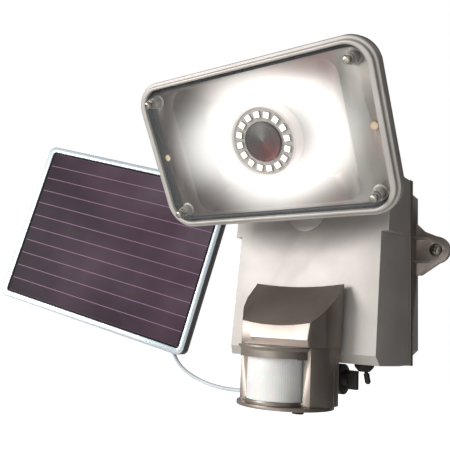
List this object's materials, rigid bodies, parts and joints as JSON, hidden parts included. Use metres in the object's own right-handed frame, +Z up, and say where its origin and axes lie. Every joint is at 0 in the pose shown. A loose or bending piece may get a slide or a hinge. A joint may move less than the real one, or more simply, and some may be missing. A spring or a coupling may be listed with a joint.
{
  "type": "solar flood light",
  "caption": "Wall-mounted solar flood light: battery housing, tilting LED lamp head, swivelling motion sensor, toggle switch and a corded solar panel on a hinged bracket.",
  "frame": {"origin": "middle of the housing's flat back, on the wall", "axes": "+Z up, -Y out of the wall towards the viewer, +X to the viewer's right"},
  "size_m": [0.4332, 0.1957, 0.2452],
  "materials": {
    "silver_plastic": "satin silver paint on moulded ABS",
    "dark_silver_plastic": "satin silver-grey paint on moulded ABS",
    "black_rubber": "soft matt",
    "steel": "zinc plated",
    "black_plastic": "fine moulded texture",
    "cell_sleeve": "shrink sleeve",
    "circuit_board": "solder mask",
    "clear_plastic": "clear polycarbonate",
    "mirror_plating": "vacuum-metallised plastic",
    "white_plastic": "white solder mask",
    "led_phosphor": "silicone and phosphor",
    "aluminium": "as cast",
    "milky_plastic": "milky polyethylene with fine ribs",
    "panel_silver": "silver-white enamel",
    "solar_cells": "thin-film silicon behind glass",
    "cord_jacket": "soft PVC"
  },
  "bodies": {
    "fixture": {"rear_cover": "dark_silver_plastic", "front_cover": "silver_plastic", "housing_gasket": "black_rubber", "housing_screws": "steel", "battery_holder": "black_plastic", "battery_cells": "cell_sleeve", "control_board": "circuit_board", "board_parts": "black_plastic", "board_screws": "steel", "switch_body": "black_plastic", "switch_boot": "black_rubber", "cord_gland": "black_plastic", "strain_relief": "black_rubber", "wall_screws": "steel", "head_boss": "silver_plastic", "bracket_flange": "black_plastic", "flange_screws": "steel", "bracket_pin": "steel", "cord_run": "cord_jacket"},
    "switch": {"switch_lever": "black_plastic"},
    "head_swivel": {"head_yoke": "dark_silver_plastic", "yoke_nut": "steel", "head_hinge_bolt": "steel", "head_hinge_nut": "steel"},
    "lamp_head": {"head_shell": "dark_silver_plastic", "head_bezel": "silver_plastic", "head_lens": "clear_plastic", "lens_gasket": "black_rubber", "reflector": "mirror_plating", "led_board": "white_plastic", "led_chips": "led_phosphor", "led_heatsink": "aluminium", "mirror_cap": "mirror_plating", "lens_screws": "steel", "reflector_pins": "silver_plastic"},
    "sensor_post": {"sensor_arm": "dark_silver_plastic", "sensor_arm_nut": "steel"},
    "sensor": {"sensor_front": "dark_silver_plastic", "sensor_rear": "dark_silver_plastic", "sensor_visor": "dark_silver_plastic", "fresnel_lens": "milky_plastic", "sensor_base": "dark_silver_plastic", "sensor_board": "circuit_board", "infrared_detector": "steel", "sensor_bolt": "steel"},
    "clamp_knob": {"sensor_knob": "dark_silver_plastic"},
    "range_control": {"range_dial": "black_plastic"},
    "timer_control": {"timer_dial": "black_plastic"},
    "light_control": {"light_dial": "black_plastic"},
    "bracket": {"bracket_arm": "black_plastic", "bracket_bolt": "steel", "cord_coil": "cord_jacket", "cord_tie": "black_plastic", "cord_tail": "cord_jacket"},
    "tilt_knob": {"bracket_knob": "black_plastic"},
    "panel": {"panel_tray": "black_plastic", "panel_frame": "panel_silver", "solar_glass": "solar_cells", "junction_box": "black_plastic", "panel_screws": "steel"}
  },
  "joints": [
    {"name": "head_pan", "type": "hinge", "parent": "fixture", "child": "head_swivel", "pos_m": [0, -0.077, 0.043], "axis": [0, 0, 1], "range_deg": [-22, 22]},
    {"name": "head_tilt", "type": "hinge", "parent": "head_swivel", "child": "lamp_head", "pos_m": [0, -0.082, 0.076], "axis": [1, 0, 0], "range_deg": [-55, 11]},
    {"name": "sensor_pan", "type": "hinge", "parent": "fixture", "child": "sensor_post", "pos_m": [0, -0.05, -0.08], "axis": [0, 0, 1], "range_deg": [-6, 6]},
    {"name": "sensor_tilt", "type": "hinge", "parent": "sensor_post", "child": "sensor", "pos_m": [0, -0.05, -0.086], "axis": [1, 0, 0], "range_deg": [0, 45]},
    {"name": "clamp_knob_turn", "type": "hinge", "parent": "sensor", "child": "clamp_knob", "pos_m": [0.03, -0.05, -0.086], "axis": [1, 0, 0], "range_deg": [-180, 180]},
    {"name": "range_dial_turn", "type": "hinge", "parent": "sensor", "child": "range_control", "pos_m": [-0.018, -0.1, -0.107], "axis": [0, 0, 1], "range_deg": [-135, 135]},
    {"name": "timer_dial_turn", "type": "hinge", "parent": "sensor", "child": "timer_control", "pos_m": [0, -0.1, -0.107], "axis": [0, 0, 1], "range_deg": [-135, 135]},
    {"name": "light_dial_turn", "type": "hinge", "parent": "sensor", "child": "light_control", "pos_m": [0.018, -0.1, -0.107], "axis": [0, 0, 1], "range_deg": [-135, 135]},
    {"name": "switch_toggle", "type": "hinge", "parent": "fixture", "child": "switch", "pos_m": [0.047, -0.052, -0.072], "axis": [0, 1, 0], "range_deg": [0, 24]},
    {"name": "bracket_pan", "type": "hinge", "parent": "fixture", "child": "bracket", "pos_m": [-0.23, -0.016, 0.024], "axis": [0, 0, 1], "range_deg": [-45, 10], "deforming": ["cord_run"]},
    {"name": "panel_tilt", "type": "hinge", "parent": "bracket", "child": "panel", "pos_m": [-0.2199, -0.05055, 0.024], "axis": [0.9598, 0.2807, 0], "range_deg": [-35, 15], "deforming": ["cord_tail"]},
    {"name": "tilt_knob_turn", "type": "hinge", "parent": "bracket", "child": "tilt_knob", "pos_m": [-0.20262, -0.0455, 0.024], "axis": [0.9598, 0.2807, 0], "range_deg": [-180, 180]}
  ]
}
